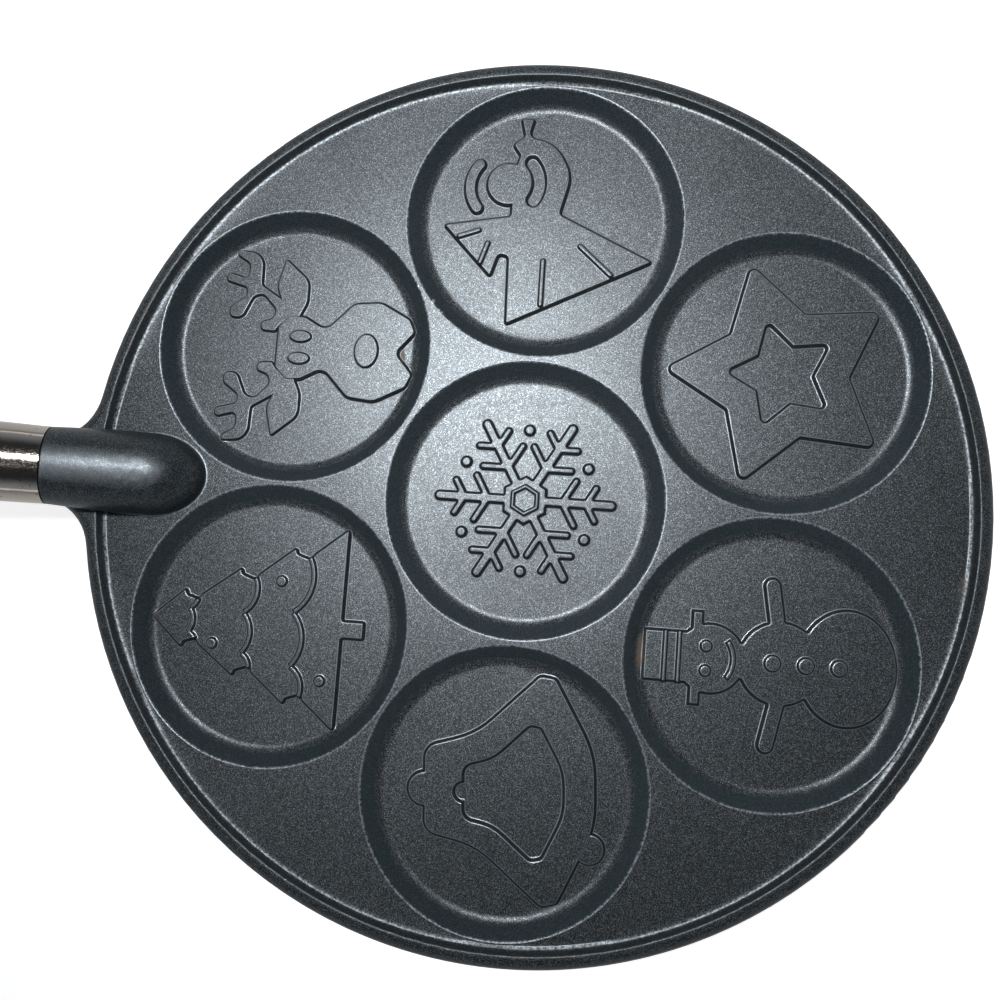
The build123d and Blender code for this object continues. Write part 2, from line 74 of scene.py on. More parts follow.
class Graph:
    """Adds nodes to one shader tree and links what feeds them."""

    def __init__(self, tree: bpy.types.NodeTree) -> None:
        """Starts on the node tree of a material, a world or a group."""
        self.tree = tree

    def feed(self, socket: Socket, value: Feed) -> None:
        """Feeds an input.

        Args:
            socket: The input.
            value: A socket to link to it, or the value that it keeps.
        """
        if isinstance(value, Socket):
            self.tree.links.new(value, socket)
        else:
            socket.default_value = value

    def add(self, kind: str, feeds: dict[str | int, Feed] | None = None, **settings: object) -> Node:
        """Adds a node.

        Args:
            kind: The node's Blender type.
            feeds: What goes into each input, by the input's name or number.
            **settings: The node's own properties.

        Returns:
            The new node.
        """
        node = self.tree.nodes.new(kind)
        for name, value in settings.items():
            setattr(node, name, value)
        for key, value in (feeds or {}).items():
            self.feed(node.inputs[key], value)
        return node

    def math(self, operation: str, *values: Feed, clamp: bool = False) -> Socket:
        """Works out one number with a Math node, which clamp keeps between 0 and 1."""
        node = self.add("ShaderNodeMath", dict(enumerate(values)), operation=operation, use_clamp=clamp)
        return node.outputs[0]

    def product(self, *factors: Feed) -> Socket:
        """Multiplies numbers.

        Args:
            *factors: Two or more numbers.

        Returns:
            Their product.
        """
        product = factors[0]
        for factor in factors[1:]:
            product = self.math("MULTIPLY", product, factor)
        return product

    def any_of(self, *masks: Feed) -> Socket:
        """Joins masks.

        Args:
            *masks: Two or more masks from 0 to 1.

        Returns:
            The largest of them.
        """
        joined = masks[0]
        for mask in masks[1:]:
            joined = self.math("MAXIMUM", joined, mask)
        return joined

    def all_but(self, mask: Feed) -> Socket:
        """Gives what a mask from 0 to 1 leaves out."""
        return self.math("SUBTRACT", 1.0, mask)

    def vector(self, operation: str, *values: Feed) -> Node:
        """Adds a Vector Math node, whose outputs are Vector and Value."""
        return self.add("ShaderNodeVectorMath", dict(enumerate(values)), operation=operation)

    def upward(self, direction: Socket) -> Socket:
        """Gives how far a direction points up."""
        return self.add("ShaderNodeSeparateXYZ", {"Vector": direction}).outputs["Z"]

    def noise(self, at: Socket, scale: Feed, detail: float) -> Socket:
        """Reads a noise near 0.5 at a place, with scale waves to a metre and detail finer layers."""
        return self.add("ShaderNodeTexNoise", {"Vector": at, "Scale": scale, "Detail": detail}).outputs[0]

    def ramp(self, value: Feed, span: Span, start: float = 0.0, end: float = 1.0) -> Socket:
        """Turns a range of numbers into another, with soft ends.

        Args:
            value: The number.
            span: Where the range starts and where it ends.
            start: The result at the range's start.
            end: The result at the range's end.

        Returns:
            The result.
        """
        low, high = span
        feeds = {"Value": value, "From Min": low, "From Max": high, "To Min": start, "To Max": end}
        return self.add("ShaderNodeMapRange", feeds, interpolation_type="SMOOTHSTEP").outputs["Result"]

    def fade(self, value: Feed, span: Span) -> Socket:
        """Gives a mask that falls from 1 to 0 over a range."""
        return self.ramp(value, span, 1.0, 0.0)

    def between(self, share: Feed, first: Feed, second: Feed) -> Socket:
        """Blends two numbers."""
        return self.add("ShaderNodeMix", {"Factor": share, "A": first, "B": second}).outputs["Result"]

    def mix(self, share: Feed, first: Feed, second: Feed) -> Socket:
        """Blends two colours.

        Args:
            share: How much of the second, from 0 to 1.
            first: The colour at 0.
            second: The colour at 1.

        Returns:
            The blended colour.
        """
        node = self.add("ShaderNodeMix", data_type="RGBA")
        shown = {socket.name: socket for socket in node.inputs if socket.enabled}
        self.feed(shown["Factor"], share)
        for name, colour in (("A", first), ("B", second)):
            self.feed(shown[name], colour if isinstance(colour, Socket) else (*colour, 1.0))
        return next(socket for socket in node.outputs if socket.enabled)

    def bump(self, height: Socket, depth: float, **more: Feed) -> Socket:
        """Gives the normal of a surface whose height, from 0 to 1, stands for a depth in metres."""
        feeds = {"Height": height, "Distance": depth, "Strength": 1.0, **more}
        return self.add("ShaderNodeBump", feeds).outputs["Normal"]


class Effect:
    """A shader node group with named inputs and outputs."""

    title = ""
    takes: dict[str, tuple[SocketKind, Feed]] = {}
    gives: dict[str, SocketKind] = {}
    made: dict[str, bpy.types.NodeTree] = {}

    def draw(self, graph: Graph, taken: Outputs) -> dict[str, Socket]:
        """Builds the group's inside.

        Args:
            graph: The group's graph.
            taken: What the group's inputs carry, by their names.

        Returns:
            What each output gives.
        """
        raise NotImplementedError

    def group(self) -> bpy.types.NodeTree:
        """Gives the group, which is built once.

        Returns:
            The node tree.
        """
        if self.title not in Effect.made:
            tree = bpy.data.node_groups.new(self.title, "ShaderNodeTree")
            for name, (kind, start) in self.takes.items():
                socket = tree.interface.new_socket(name, in_out="INPUT", socket_type=kind.value)
                socket.default_value = start
            for name, kind in self.gives.items():
                tree.interface.new_socket(name, in_out="OUTPUT", socket_type=kind.value)
            graph = Graph(tree)
            graph.add("NodeGroupOutput", self.draw(graph, graph.add("NodeGroupInput").outputs))
            Effect.made[self.title] = tree
        return Effect.made[self.title]

    def place(self, graph: Graph, **feeds: Feed) -> Outputs:
        """Puts the group in a material.

        Args:
            graph: The material's graph.
            **feeds: What goes into each input, with _ for a space in its name.

        Returns:
            The group node's outputs, by their names.
        """
        node = graph.add("ShaderNodeGroup", node_tree=self.group())
        for name, value in feeds.items():
            graph.feed(node.inputs[name.replace("_", " ")], value)
        return node.outputs


class Grain(Effect):
    """Small irregular bumps, as on a blasted or moulded surface."""

    title = "Grain"
    takes = {"Vector": (SocketKind.VECTOR, ORIGIN), "Size": (SocketKind.NUMBER, 0.5 * MM)}
    gives = {"Height": SocketKind.NUMBER}
    coarse_scale = 0.45

    def draw(self, graph: Graph, taken: Outputs) -> dict[str, Socket]:
        """Averages a fine and a coarser noise.

        Args:
            graph: The group's graph.
            taken: What the group's inputs carry, by their names.

        Returns:
            What each output gives.
        """
        scale = graph.math("DIVIDE", 1.0, taken["Size"])
        fine = graph.noise(taken["Vector"], scale, detail=1.0)
        coarse = graph.noise(taken["Vector"], graph.product(scale, self.coarse_scale), detail=0.0)
        return {"Height": graph.product(graph.math("ADD", fine, coarse), 0.5)}


class Flecks(Effect):
    """Small cells of different tones strewn over a surface."""

    title = "Flecks"
    takes = {
        "Vector": (SocketKind.VECTOR, ORIGIN), "Size": (SocketKind.NUMBER, 0.2 * MM),
        "Contrast": (SocketKind.NUMBER, 2.0),
    }
    gives = {"Mask": SocketKind.NUMBER}

    def draw(self, graph: Graph, taken: Outputs) -> dict[str, Socket]:
        """Gives each cell a tone, and makes bright ones rarer as the contrast rises.

        Args:
            graph: The group's graph.
            taken: What the group's inputs carry, by their names.

        Returns:
            What each output gives.
        """
        scale = graph.math("DIVIDE", 1.0, taken["Size"])
        cells = graph.add("ShaderNodeTexVoronoi", {"Vector": taken["Vector"], "Scale": scale})
        chance = graph.add("ShaderNodeSeparateColor", {"Color": cells.outputs["Color"]}).outputs["Red"]
        return {"Mask": graph.math("POWER", chance, taken["Contrast"])}


class Ring(Effect):
    """A soft ring at one distance from a middle."""

    title = "Ring"
    takes = {
        "Distance": (SocketKind.NUMBER, 0.0), "Radius": (SocketKind.NUMBER, 10 * MM),
        "Half Width": (SocketKind.NUMBER, 0.5 * MM),
    }
    gives = {"Mask": SocketKind.NUMBER}

    def draw(self, graph: Graph, taken: Outputs) -> dict[str, Socket]:
        """Fades out on both sides of the radius."""
        off = graph.math("ABSOLUTE", graph.math("SUBTRACT", taken["Distance"], taken["Radius"]))
        return {"Mask": graph.fade(graph.math("DIVIDE", off, taken["Half Width"]), (0.0, 1.0))}


class Spot(Effect):
    """A ragged spot round a point."""

    title = "Spot"
    takes = {
        "Vector": (SocketKind.VECTOR, ORIGIN), "Middle": (SocketKind.VECTOR, ORIGIN),
        "Radius": (SocketKind.NUMBER, 2 * MM), "Stretch": (SocketKind.VECTOR, (1.0, 1.0, 1.0)),
    }
    gives = {"Mask": SocketKind.NUMBER}
    edge = (0.45, 1.0)
    raggedness = 0.9
    rag_scale = 1100.0

    def draw(self, graph: Graph, taken: Outputs) -> dict[str, Socket]:
        """Fades with the distance, which a noise makes uneven.

        Args:
            graph: The group's graph.
            taken: What the group's inputs carry, by their names.

        Returns:
            What each output gives.
        """
        away = graph.vector("SUBTRACT", taken["Vector"], taken["Middle"]).outputs["Vector"]
        drawn = graph.vector("DIVIDE", away, taken["Stretch"]).outputs["Vector"]
        reach = graph.math("DIVIDE", graph.vector("LENGTH", drawn).outputs["Value"], taken["Radius"])
        rough = graph.noise(taken["Vector"], self.rag_scale, detail=2.0)
        even = graph.math("SUBTRACT", reach, self.raggedness / 2)
        return {"Mask": graph.fade(graph.math("MULTIPLY_ADD", rough, self.raggedness, even), self.edge)}


class Scratches(Effect):
    """Fine hairlines along one direction."""

    title = "Scratches"
    takes = {
        "Vector": (SocketKind.VECTOR, ORIGIN), "Stretch": (SocketKind.VECTOR, (1.0, 40.0, 1.0)),
        "Scale": (SocketKind.NUMBER, 60.0), "Share": (SocketKind.NUMBER, 0.3),
    }
    gives = {"Mask": SocketKind.NUMBER}
    threshold = 0.75
    threshold_drop = 0.5
    sharpness = 8.0

    def draw(self, graph: Graph, taken: Outputs) -> dict[str, Socket]:
        """Stretches a noise and keeps its peaks above a threshold, which drops as the share grows.

        Args:
            graph: The group's graph.
            taken: What the group's inputs carry, by their names.

        Returns:
            What each output gives.
        """
        drawn = graph.vector("MULTIPLY", taken["Vector"], taken["Stretch"]).outputs["Vector"]
        noise = graph.noise(drawn, taken["Scale"], detail=3.0)
        floor = graph.math("SUBTRACT", self.threshold, graph.product(taken["Share"], self.threshold_drop))
        peaks = graph.math("SUBTRACT", noise, floor)
        return {"Mask": graph.math("MULTIPLY", peaks, self.sharpness, clamp=True)}


@dataclass(frozen=True)
class Layout:
    """The casting's sizes in metres and degrees, and where its features lie from its axis and base.

    A land is the flat metal between two features.
    """

    wells_in_ring: int = 6
    first_well_angle: float = 30.0
    well_radius: float = 41.5 * MM
    well_depth: float = 4.5 * MM
    floor_wall: float = 3.5 * MM
    well_land: float = 1.12 * MM
    centre_land: float = 1.6 * MM
    rim_land: float = 1.3 * MM
    rim_wall: float = 1.5 * MM
    rim_width: float = 4.6 * MM
    handle_rise: float = 13.0
    boss_overhang: float = 8.0 * MM
    boss_lift: float = 7.5 * MM
    boss_length: float = 29.2 * MM
    boss_nose: float = 17.0 * MM
    boss_end_radius: float = 11.5 * MM
    boss_root_radius: float = 12.4 * MM

    @property
    def well_pitch(self) -> float:
        """The angle between two wells of the ring, in radians."""
        return 2 * math.pi / self.wells_in_ring

    @property
    def ring_radius(self) -> float:
        """How far the middles of the ring's wells lie from the axis."""
        return (2 * self.well_radius + self.well_land) / (2 * math.sin(self.well_pitch / 2))

    @property
    def centre_lip(self) -> float:
        """The radius of the centre well's lip."""
        return self.ring_radius - self.well_radius - self.centre_land

    @property
    def plate_height(self) -> float:
        """The height of the plate's top."""
        return self.floor_wall + self.well_depth

    @property
    def rim_foot(self) -> float:
        """The radius where the rim starts to rise."""
        return self.ring_radius + self.well_radius + self.rim_land

    @property
    def rim_crest(self) -> float:
        """The radius of the rim's inner edge."""
        return self.rim_foot + self.rim_wall

    @property
    def handle_start(self) -> Place:
        """The middle of the boss's end."""
        out = self.rim_crest + self.rim_width + self.boss_overhang
        return (-out, 0.0, self.plate_height + self.boss_lift)

    @property
    def inward(self) -> Place:
        """The handle's direction towards the pan."""
        rise = math.radians(self.handle_rise)
        return (math.cos(rise), 0.0, -math.sin(rise))


class WellMap(Effect):
    """How far a place is from a well of the ring, the pan's axis, the boss's skin and the resting plane."""

    title = "Well Map"
    takes = {"Vector": (SocketKind.VECTOR, ORIGIN)}
    gives = {
        "Ring Well": SocketKind.NUMBER, "Axis": SocketKind.NUMBER, "Off Boss": SocketKind.NUMBER,
        "Height": SocketKind.NUMBER,
    }

    def __init__(self, layout: Layout) -> None:
        """Keeps where the casting's features lie."""
        self.layout = layout

    def draw(self, graph: Graph, taken: Outputs) -> dict[str, Socket]:
        """Folds the ring of wells onto one of them.

        Args:
            graph: The group's graph.
            taken: What the group's inputs carry, by their names.

        Returns:
            What each output gives.
        """
        layout = self.layout
        x, y, height = graph.add("ShaderNodeSeparateXYZ", {"Vector": taken["Vector"]}).outputs
        axis = self.length(graph, x, y)
        turn = graph.math("SUBTRACT", graph.math("ARCTAN2", y, x), math.radians(layout.first_well_angle))
        nearest = graph.math("ROUND", graph.math("DIVIDE", turn, layout.well_pitch))
        off = graph.math("SUBTRACT", turn, graph.product(nearest, layout.well_pitch))
        out = graph.math("SUBTRACT", graph.product(axis, graph.math("COSINE", off)), layout.ring_radius)
        aside = graph.product(axis, graph.math("SINE", off))
        return {
            "Ring Well": self.length(graph, out, aside), "Axis": axis,
            "Off Boss": self.off_boss(graph, taken["Vector"]), "Height": height,
        }

    def length(self, graph: Graph, across: Socket, along: Socket) -> Socket:
        """Gives the length of the hypotenuse of two sides."""
        return graph.math("SQRT", graph.math("MULTIPLY_ADD", across, across, graph.product(along, along)))

    def off_boss(self, graph: Graph, at: Socket) -> Socket:
        """Gives the distance from the boss's skin, which is a slightly tapered bar with a domed nose.

        Args:
            graph: The group's graph.
            at: The place on the piece, in metres.

        Returns:
            The distance, below 0 inside the boss.
        """
        layout = self.layout
        away = graph.vector("SUBTRACT", at, layout.handle_start).outputs["Vector"]
        aside = graph.vector("CROSS_PRODUCT", away, layout.inward).outputs["Vector"]
        across = graph.vector("LENGTH", aside).outputs["Value"]
        along = graph.vector("DOT_PRODUCT", away, layout.inward).outputs["Value"]
        past = graph.math("MAXIMUM", graph.math("SUBTRACT", along, layout.boss_length), 0.0)
        past = graph.product(past, layout.boss_root_radius / layout.boss_nose)
        out = graph.math("SUBTRACT", 1.0, graph.math("DIVIDE", along, layout.boss_length), clamp=True)
        taper = layout.boss_end_radius - layout.boss_root_radius
        radius = graph.math("MULTIPLY_ADD", graph.product(out, out), taper, layout.boss_root_radius)
        return graph.math("SUBTRACT", self.length(graph, across, past), radius)


@dataclass(frozen=True)
class Mark:
    """A spot of wear or baked-on dirt on the casting, in millimetres."""

    x: float
    y: float
    z: float
    radius: float
    stretch: Place = (1.0, 1.0, 3.0)
    strength: float = 1.0

    @property
    def middle(self) -> Place:
        """The spot's middle, in metres."""
        return (self.x * MM, self.y * MM, self.z * MM)


class Finish:
    """A procedural material for one of the record's material slots."""

    slot = ""

    def dress(self, graph: Graph, at: Socket) -> dict[str, Feed]:
        """Works out the look of a place.

        Args:
            graph: The material's graph.
            at: The place on the piece, in metres.

        Returns:
            What goes into the inputs of the Principled BSDF, by their names.
        """
        raise NotImplementedError

    def material(self) -> bpy.types.Material:
        """Gives the material, which is built once.

        Returns:
            The material.
        """
        name = f"{self.slot}_finish"
        if name not in bpy.data.materials:
            made = bpy.data.materials.new(name)
            made.use_nodes = True
            graph = Graph(made.node_tree)
            shader = made.node_tree.nodes["Principled BSDF"]
            at = graph.add("ShaderNodeTexCoord").outputs["Object"]
            for key, value in self.dress(graph, at).items():
                graph.feed(shader.inputs[key], value)
        return bpy.data.materials[name]

    @staticmethod
    def uneven(graph: Graph, grain: Socket, middle: float, spread: float) -> Socket:
        """Gives a number that varies with the grain, by half the spread to each side of its middle value."""
        return graph.math("MULTIPLY_ADD", grain, spread, middle - spread / 2)


@dataclass(frozen=True)
class Masks:
    """What the casting's look depends on at a place.

    Where holds the well map's measures. Upward is how far the smooth surface points up, rounded is the normal
    with edges rounded, and the others go from 0 to 1.
    """

    where: Outputs
    upward: Socket
    rounded: Socket
    grain: Socket
    on_boss: Socket
    off_rim: Socket
    stained: Socket
    bottom: Socket


@dataclass(frozen=True)
class CoatedCasting(Finish):
    """Dark non-stick coating with metal flakes, over blasted cast aluminium.

    An edge is the range over which a mask fades. Those for steep, level, painted light, flake and painted
    highlight are ranges of how far the surface points up, from 0 to 1.
    """

    slot: str = "coated_casting"
    layout: Layout = Layout()

    # Colours
    coat: Colour = (0.0022, 0.0032, 0.0042)
    coat_worn: Colour = (0.0045, 0.006, 0.0075)
    coat_tint: Colour = (0.84, 0.94, 1.0)
    # The next two colours are painted light: lighter tones put on sloped walls and relief sides in place of
    # the light they catch.
    wall_painted_light: Colour = (0.010, 0.017, 0.021)
    relief_painted_light: Colour = (0.014, 0.016, 0.018)
    flake: Colour = (0.50, 0.56, 0.61)
    bare_metal: Colour = (0.80, 0.79, 0.77)
    stain: Colour = (0.130, 0.098, 0.072)

    # Roughness, and how uneven the coating and its stains are
    roughness: float = 0.37
    roughness_spread: float = 0.06
    roughness_grain: Span = (0.3, 0.7)
    boss_roughness: float = 0.40
    stain_roughness: float = 0.25
    stain_share: float = 0.85
    cloud_scale: float = 38.0
    cloud_edge: Span = (0.3, 0.7)
    cloud_share: float = 0.5

    # Light painted on slopes between level and steep, with one colour for the relief's sides and one for the
    # walls, parted by the last edge
    steep_edge: Span = (0.40, 0.50)
    level_edge: Span = (0.80, 0.94)
    painted_light_edge: Span = (0.58, 0.66)

    # Metal flakes, and a metal sheen painted on the boss's upward faces as its highlight
    flake_size: float = 0.15 * MM
    flake_share: float = 0.085
    flake_contrast: float = 5.5
    flake_edge: Span = (0.72, 0.97)
    steep_flake_share: float = 0.3
    boss_fleck_share: float = 0.6
    boss_painted_highlight: float = 0.22
    painted_highlight_edge: Span = (0.84, 0.985)

    # Blasted grain, and turning marks on the bottoms of the wells
    grain_size: float = 0.36 * MM
    grain_depth: float = 0.008 * MM
    boss_grain_share: float = 0.8
    turning_pitch: float = 0.7 * MM
    turning_depth: float = 0.01 * MM
    bottom_edge: Span = (0.05 * MM, 0.15 * MM)

    # Rounded crests, with wear and a painted highlight as metal on the level faces beside them
    crest_round: float = 0.55 * MM
    crest_samples: int = 6
    crest_wear_and_glint: float = 0.9
    crest_bend: Span = (0.975, 0.9995)
    crest_facing: Span = (0.9, 0.99)
    rim_crest_share: float = 0.25

    # Lines of wear and painted highlight on lips, along the rim and round the boss, and where the boss's and
    # the rim's looks begin
    line_width: float = 0.6 * MM
    line_share: float = 0.5
    line_grain: Span = (0.42, 0.58)
    line_depth: float = 0.8 * MM
    foot_line_width: float = 1.1 * MM
    foot_line_share: float = 0.8
    foot_line_inset: float = 0.32 * MM
    crest_line_outset: float = 0.18 * MM
    boss_line_height: float = 0.9 * MM
    boss_edge: Span = (0.1 * MM, 0.4 * MM)
    boss_step: float = 0.2 * MM
    rim_edge: float = 0.5 * MM

    # Single marks
    stains: tuple[Mark, ...] = (
        Mark(-40.2, 41.4, 4.2, 1.3, (0.8, 2.0, 3.0)),
        Mark(36.5, -41.6, 4.4, 1.5, (0.9, 4.8, 3.0)),
        Mark(125.0, -17.0, 8.6, 1.6, (1.0, 3.0, 3.0), 0.4),
        Mark(5.8, -52.2, 4.4, 0.8),
    )
    chips: tuple[Mark, ...] = (
        Mark(-31.6, 57.7, 7.9, 0.9, (0.7, 1.2, 2.0)),
        Mark(-29.6, 55.2, 7.9, 0.45),
        Mark(-36.5, 62.1, 7.9, 0.4),
        Mark(-28.6, 54.5, 7.9, 0.4),
    )

    @property
    def foot_line(self) -> float:
        """The radius of the line of wear and painted highlight along the rim's foot, where the plate's look
        ends.
        """
        return self.layout.rim_foot - self.foot_line_inset

    def dress(self, graph: Graph, at: Socket) -> dict[str, Feed]:
        """Works out the coating, its lines and crests of wear and painted highlight, its stains and chips,
        and the turned bottoms.

        Args:
            graph: The material's graph.
            at: The place on the piece, in metres.

        Returns:
            What goes into the inputs of the Principled BSDF, by their names.
        """
        masks = self.masks(graph, at)
        bare = graph.any_of(self.marks(graph, at, self.chips), masks.bottom)
        broken = graph.ramp(masks.grain, self.line_grain)
        # The lines and crests carry painted highlights along with wear.
        lines = graph.product(self.lines(graph, masks), broken, self.line_share)
        metal = graph.any_of(self.flakes(graph, at, masks), lines, self.crests(graph, masks))
        colour = graph.mix(metal, self.coating(graph, at, masks), self.flake)
        return {
            "Base Color": graph.mix(bare, colour, self.bare_metal),
            "Metallic": graph.any_of(metal, bare),
            "Roughness": self.dullness(graph, masks),
            "Specular Tint": (*self.coat_tint, 1.0),
            "Normal": self.texture(graph, masks),
        }

    def masks(self, graph: Graph, at: Socket) -> Masks:
        """Works out what the look depends on.

        Args:
            graph: The material's graph.
            at: The place on the piece, in metres.

        Returns:
            The masks.
        """
        where = WellMap(self.layout).place(graph, Vector=at)
        plate = self.layout.plate_height
        near_boss = graph.fade(where["Off Boss"], self.boss_edge)
        above_plate = graph.ramp(where["Height"], (plate, plate + self.boss_step))
        bevel = graph.add("ShaderNodeBevel", {"Radius": self.crest_round}, samples=self.crest_samples)
        return Masks(
            where=where,
            upward=graph.upward(graph.add("ShaderNodeTexCoord").outputs["Normal"]),
            rounded=bevel.outputs["Normal"],
            grain=Grain().place(graph, Vector=at, Size=self.grain_size)["Height"],
            on_boss=graph.product(near_boss, above_plate),
            off_rim=graph.fade(where["Axis"], (self.foot_line - self.rim_edge, self.foot_line)),
            stained=self.marks(graph, at, self.stains),
            bottom=graph.fade(where["Height"], self.bottom_edge),
        )

    def marks(self, graph: Graph, at: Socket, marks: tuple[Mark, ...]) -> Socket:
        """Joins a set of marks.

        Args:
            graph: The material's graph.
            at: The place on the piece, in metres.
            marks: The marks.

        Returns:
            The mask of all of them.
        """
        spots = []
        for mark in marks:
            feeds = {"Middle": mark.middle, "Radius": mark.radius * MM, "Stretch": mark.stretch}
            spots.append(graph.product(Spot().place(graph, Vector=at, **feeds)["Mask"], mark.strength))
        return graph.any_of(*spots)

    def coating(self, graph: Graph, at: Socket, masks: Masks) -> Socket:
        """Gives the coating's colour, with light painted on its sloped walls and relief sides, and its
        stains.

        Args:
            graph: The material's graph.
            at: The place on the piece, in metres.
            masks: What the look depends on.

        Returns:
            The colour.
        """
        cloud = graph.noise(at, self.cloud_scale, detail=4.0)
        coat = graph.mix(graph.ramp(cloud, self.cloud_edge, 0.0, self.cloud_share), self.coat, self.coat_worn)
        not_steep = graph.ramp(masks.upward, self.steep_edge)
        not_level = graph.fade(masks.upward, self.level_edge)
        sloped = graph.product(not_steep, not_level, masks.off_rim, graph.all_but(masks.on_boss))
        # Painted light: slopes between level and steep take a lighter colour than the coating, one for the
        # relief's sides and one for the walls.
        slope_light_painted = graph.mix(graph.ramp(masks.upward, self.painted_light_edge), self.relief_painted_light, self.wall_painted_light)
        coat = graph.mix(sloped, coat, slope_light_painted)
        return graph.mix(graph.product(masks.stained, self.stain_share), coat, self.stain)

    def flakes(self, graph: Graph, at: Socket, masks: Masks) -> Socket:
        """Gives the share of metal that the flakes show, with a metal sheen painted on the boss's upward
        faces, which makes the highlight on its top and keeps its sides dark.

        Args:
            graph: The material's graph.
            at: The place on the piece, in metres.
            masks: What the look depends on.

        Returns:
            The share.
        """
        flecks = Flecks().place(graph, Vector=at, Size=self.flake_size, Contrast=self.flake_contrast)["Mask"]
        full = self.flake_share * (1 + self.flake_contrast)
        level = graph.math("ABSOLUTE", masks.upward)
        share = graph.ramp(level, self.flake_edge, self.steep_flake_share * full, full)
        # Painted highlight: the boss's sheen is metal put only on its upward faces, so that its top shines
        # and its sides stay dark.
        painted_top_highlight = graph.ramp(masks.upward, self.painted_highlight_edge, 0.0, self.boss_painted_highlight)
        on_pan = graph.product(flecks, share, graph.all_but(masks.stained))
        on_boss = graph.math("MULTIPLY_ADD", flecks, self.boss_fleck_share * full, painted_top_highlight)
        return graph.between(masks.on_boss, on_pan, on_boss)

    def crests(self, graph: Graph, masks: Masks) -> Socket:
        """Gives the wear and painted highlight on level faces beside an edge, where the rounded normal leaves
        the surface's own.

        Args:
            graph: The material's graph.
            masks: What the look depends on.

        Returns:
            The share of metal.
        """
        surface = graph.add("ShaderNodeNewGeometry").outputs["Normal"]
        bend = graph.vector("DOT_PRODUCT", masks.rounded, surface).outputs["Value"]
        # Wear together with a painted highlight: metal beside the rounded crests makes them shine as thin
        # bright lines.
        worn = graph.ramp(bend, self.crest_bend, self.crest_wear_and_glint, 0.0)
        facing = graph.ramp(graph.upward(surface), self.crest_facing)
        return graph.product(worn, facing, graph.ramp(masks.off_rim, (0.0, 1.0), self.rim_crest_share, 1.0))

    def lines(self, graph: Graph, masks: Masks) -> Socket:
        """Gives the mask of the brighter lines of wear and painted highlight on the wells' lips, on the rim
        and round the boss's foot.

        Args:
            graph: The material's graph.
            masks: What the look depends on.

        Returns:
            The mask.
        """
        layout, where, plate = self.layout, masks.where, self.layout.plate_height
        # These lines are wear together with painted highlights: metal rings where lips and fillets catch the
        # light.
        rings = []
        for name, radius, width, share in (
            ("Ring Well", layout.well_radius, self.line_width, 1.0),
            ("Axis", layout.centre_lip, self.line_width, 1.0),
            ("Axis", self.foot_line, self.foot_line_width, self.foot_line_share),
            ("Axis", layout.rim_crest + self.crest_line_outset, self.line_width, self.rim_crest_share),
        ):
            ring = Ring().place(graph, Distance=where[name], Radius=radius, Half_Width=width)
            rings.append(graph.product(share, ring["Mask"]))
        high = graph.ramp(where["Height"], (plate - self.line_depth, plate - self.line_depth / 4))
        on_pan = graph.product(graph.any_of(*rings), high, graph.all_but(masks.on_boss))
        near = graph.fade(where["Off Boss"], (self.line_width / 2, self.line_width))
        low = graph.fade(where["Height"], (plate + self.boss_line_height / 2, plate + self.boss_line_height))
        return graph.any_of(on_pan, graph.product(near, low, high))

    def dullness(self, graph: Graph, masks: Masks) -> Socket:
        """Gives the roughness, which the grain varies and stains raise.

        Args:
            graph: The material's graph.
            masks: What the look depends on.

        Returns:
            The roughness.
        """
        half = self.roughness_spread / 2
        spread = graph.ramp(masks.grain, self.roughness_grain, -half, half)
        even = graph.math("MULTIPLY_ADD", masks.on_boss, self.boss_roughness - self.roughness, self.roughness)
        clean = graph.math("ADD", even, spread)
        return graph.math("MULTIPLY_ADD", masks.stained, self.stain_roughness, clean)

    def texture(self, graph: Graph, masks: Masks) -> Socket:
        """Gives the normal with the grain of the coating and the turning marks on the wells' bottoms.

        Args:
            graph: The material's graph.
            masks: What the look depends on.

        Returns:
            The normal.
        """
        depth = graph.math("MULTIPLY_ADD", masks.on_boss, self.boss_grain_share - 1, 1.0)
        grain = graph.product(masks.grain, graph.math("SUBTRACT", depth, masks.bottom, clamp=True))
        middle = graph.math("MINIMUM", masks.where["Ring Well"], masks.where["Axis"])
        waves = graph.math("SINE", graph.product(middle, 2 * math.pi / self.turning_pitch))
        turning = graph.product(waves, self.turning_depth / self.grain_depth, masks.bottom)
        return graph.bump(graph.math("ADD", grain, turning), self.grain_depth, Normal=masks.rounded)


@dataclass(frozen=True)
class PolishedSteel(Finish):
    """Bright steel with fine polishing lines along the tube and a few specks."""

    slot: str = "polished_steel"
    steel: Colour = (0.50, 0.45, 0.405)
    speck: Colour = (0.16, 0.14, 0.12)
    speck_size: float = 0.8 * MM
    speck_contrast: float = 30.0
    speck_share: float = 0.5
    roughness: float = 0.09
    scratch_roughness: float = 0.14
    scratch_stretch: Place = (1.0, 24.0, 24.0)
    scratch_scale: float = 260.0
    scratch_share: float = 0.45
    scratch_depth: float = 0.0006 * MM

    def dress(self, graph: Graph, at: Socket) -> dict[str, Feed]:
        """Works out the steel, its hairlines and its specks.

        Args:
            graph: The material's graph.
            at: The place on the piece, in metres.

        Returns:
            What goes into the inputs of the Principled BSDF, by their names.
        """
        lines = Scratches().place(
            graph, Vector=at, Stretch=self.scratch_stretch, Scale=self.scratch_scale, Share=self.scratch_share
        )["Mask"]
        specks = Flecks().place(graph, Vector=at, Size=self.speck_size, Contrast=self.speck_contrast)["Mask"]
        return {
            "Base Color": graph.mix(graph.product(specks, self.speck_share), self.steel, self.speck),
            "Metallic": 1.0,
            "Roughness": graph.math("MULTIPLY_ADD", lines, self.scratch_roughness, self.roughness),
            "Normal": graph.bump(lines, self.scratch_depth),
        }


